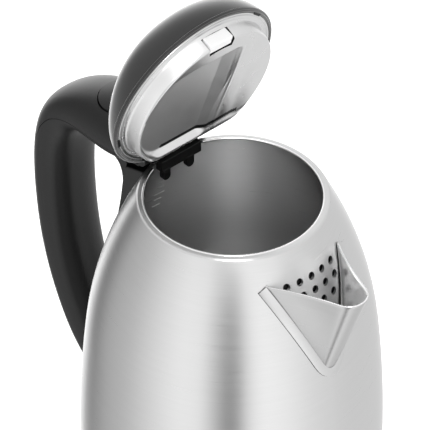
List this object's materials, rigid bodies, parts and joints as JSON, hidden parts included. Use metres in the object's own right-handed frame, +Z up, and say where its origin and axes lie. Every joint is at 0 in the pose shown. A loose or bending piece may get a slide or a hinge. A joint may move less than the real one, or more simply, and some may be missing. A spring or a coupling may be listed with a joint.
{
  "type": "electric kettle",
  "caption": "Cordless brushed steel electric kettle on a round power base, with a hinged domed lid standing open, a side spout with a strainer and a looped handle.",
  "frame": {"origin": "on the table under the middle of the power base, at the centre of the foot ring's flat underside", "axes": "+Z up, +X towards the spout and away from the handle, +Y to the left of someone looking along +X"},
  "size_m": [0.2287, 0.1588, 0.3089],
  "materials": {
    "brushed_steel_body": "brushed round",
    "polished_steel": "polished",
    "charcoal_plastic": "satin",
    "black_plastic": "matt",
    "pale_plastic": "satin",
    "fastener_steel": "bright",
    "contact_brass": "bright",
    "heater_aluminium": "cast",
    "bimetal": "dull",
    "foot_rubber": "matt"
  },
  "bodies": {
    "base": {"foot_ring": "foot_rubber", "base_bottom_cover": "charcoal_plastic", "base_top_cover": "charcoal_plastic", "base_screws": "fastener_steel", "cord_grommet": "foot_rubber", "terminal_block": "black_plastic", "base_connector": "black_plastic", "contact_ring": "contact_brass", "contact_sleeve": "contact_brass"},
    "coupler": {"coupler_socket": "black_plastic", "coupler_pin": "contact_brass", "coupler_blade": "contact_brass"},
    "jug": {"body_shell": "brushed_steel_body", "spout_beak": "brushed_steel_body", "heater_plate": "polished_steel", "handle_outer_shell": "charcoal_plastic", "handle_inner_shell": "charcoal_plastic", "handle_root": "charcoal_plastic", "bottom_housing": "charcoal_plastic", "hinge_bracket": "black_plastic", "control_unit": "black_plastic", "steam_switch": "black_plastic", "steam_tube": "pale_plastic", "bottom_screws": "fastener_steel", "hinge_pin": "fastener_steel", "switch_pin": "fastener_steel", "button_spring": "fastener_steel", "lid_spring": "fastener_steel", "heat_spreader": "heater_aluminium", "heating_element": "heater_aluminium", "boil_dry_disc": "bimetal"},
    "lid": {"lid_dome": "charcoal_plastic", "lid_pan": "polished_steel", "lid_frame": "black_plastic", "lid_screws": "fastener_steel", "latch_spring": "fastener_steel"},
    "latch": {"lid_latch_bolt": "pale_plastic"},
    "button": {"lid_release_button": "charcoal_plastic"},
    "lever": {"switch_lever": "charcoal_plastic"}
  },
  "joints": [
    {"name": "jug_lift", "type": "slide", "parent": "base", "child": "coupler", "axis": [0, 0, 1], "range_m": [0, 0.08]},
    {"name": "jug_swivel", "type": "hinge", "parent": "coupler", "child": "jug", "pos_m": [0, 0, 0.0204], "axis": [0, 0, 1], "continuous": true},
    {"name": "lid_hinge", "type": "hinge", "parent": "jug", "child": "lid", "pos_m": [-0.0445, 0, 0.2222], "axis": [0, 1, 0], "range_deg": [0, 73.5], "stiffness_Nm_per_rad": 0.08, "springref_deg": -34.38},
    {"name": "latch_slide", "type": "slide", "parent": "lid", "child": "latch", "axis": [0.284, 0, 0.9588], "range_m": [-0.0025, 0.0025], "stiffness_N_per_m": 200},
    {"name": "button_press", "type": "slide", "parent": "jug", "child": "button", "axis": [0, 0, -1], "range_m": [0, 0.0025], "stiffness_N_per_m": 600, "springref_m": -0.002, "deforming": ["button_spring"]},
    {"name": "switch_press", "type": "hinge", "parent": "jug", "child": "lever", "pos_m": [-0.0978, 0, 0.0427], "axis": [0, -1, 0], "range_deg": [0, 14]}
  ]
}
